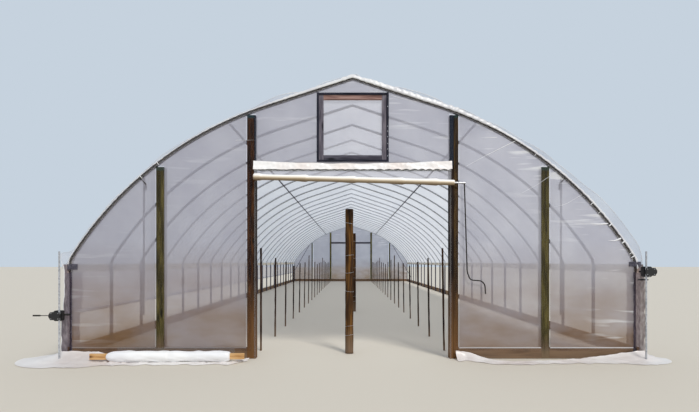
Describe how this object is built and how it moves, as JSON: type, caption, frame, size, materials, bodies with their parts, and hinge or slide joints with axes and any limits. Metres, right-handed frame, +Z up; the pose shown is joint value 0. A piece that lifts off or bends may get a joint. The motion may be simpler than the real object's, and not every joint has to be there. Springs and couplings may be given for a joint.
{
  "type": "polytunnel greenhouse",
  "caption": "Gothic arched polytunnel with steel bows, timber end walls, film cover, roll-up sides, roll-up door and a gable vent.",
  "frame": {"origin": "on the ground under the middle of the plan", "axes": "+Z up, the front wall with the door faces -Y, +X to the right seen from the front"},
  "size_m": [9.851, 29.7494, 4.5639],
  "materials": {
    "galvanised_tube": "hot-dip galvanised steel tube, dull",
    "aluminium_channel": "extruded aluminium lock channel, weathered",
    "treated_timber": "weathered treated timber, brown",
    "green_timber": "pressure treated timber, greenish",
    "white_film": "greenhouse polythene film, milky and translucent",
    "rolled_film": "rolled polythene film, cream",
    "dark_wood": "dark weathered stakes and poles",
    "vent_wood": "grey brown weathered wood",
    "black_plastic": "black moulded housing",
    "dark_steel": "dark weathered steel rod"
  },
  "bodies": {
    "root": {"baseboard_left": "treated_timber", "baseboard_right": "treated_timber", "bows_far": "galvanised_tube", "bows_middle": "galvanised_tube", "bows_near": "galvanised_tube", "corner_strip_left": "white_film", "corner_strip_right": "white_film", "crank_handle_left": "dark_steel", "crank_handle_right": "dark_steel", "crop_stakes": "dark_wood", "curtain_roll_left": "rolled_film", "curtain_roll_right": "rolled_film", "door_crank": "dark_steel", "door_curtain": "white_film", "door_curtain_channel": "aluminium_channel", "door_curtain_rod": "aluminium_channel", "door_curtain_roll": "rolled_film", "door_header": "treated_timber", "door_post_left": "treated_timber", "door_post_right": "treated_timber", "front_baseboard_left": "treated_timber", "front_baseboard_right": "treated_timber", "front_bow": "galvanised_tube", "front_film_left": "white_film", "front_film_right": "white_film", "front_lock_channel": "aluminium_channel", "gable_film": "white_film", "gearbox_left": "black_plastic", "gearbox_right": "black_plastic", "ground_posts_left": "galvanised_tube", "ground_posts_right": "galvanised_tube", "guide_poles": "galvanised_tube", "hip_board_left": "treated_timber", "hip_board_right": "treated_timber", "hip_channels": "aluminium_channel", "purlins": "galvanised_tube", "rear_baseboards": "treated_timber", "rear_bow": "galvanised_tube", "rear_door_posts": "green_timber", "rear_film": "white_film", "rear_header": "treated_timber", "rear_lock_channel": "aluminium_channel", "rear_side_posts": "green_timber", "roll_cores": "galvanised_tube", "roof_film": "white_film", "side_curtain_left": "white_film", "side_curtain_right": "white_film", "side_post_left": "green_timber", "side_post_right": "green_timber", "tail_apron": "white_film", "tail_batten": "treated_timber", "tail_film_roll": "rolled_film", "trellis_poles": "dark_wood", "vent_pane": "white_film", "vent_sash": "vent_wood", "vent_surround": "vent_wood", "wind_braces": "galvanised_tube"}
  },
  "joints": []
}
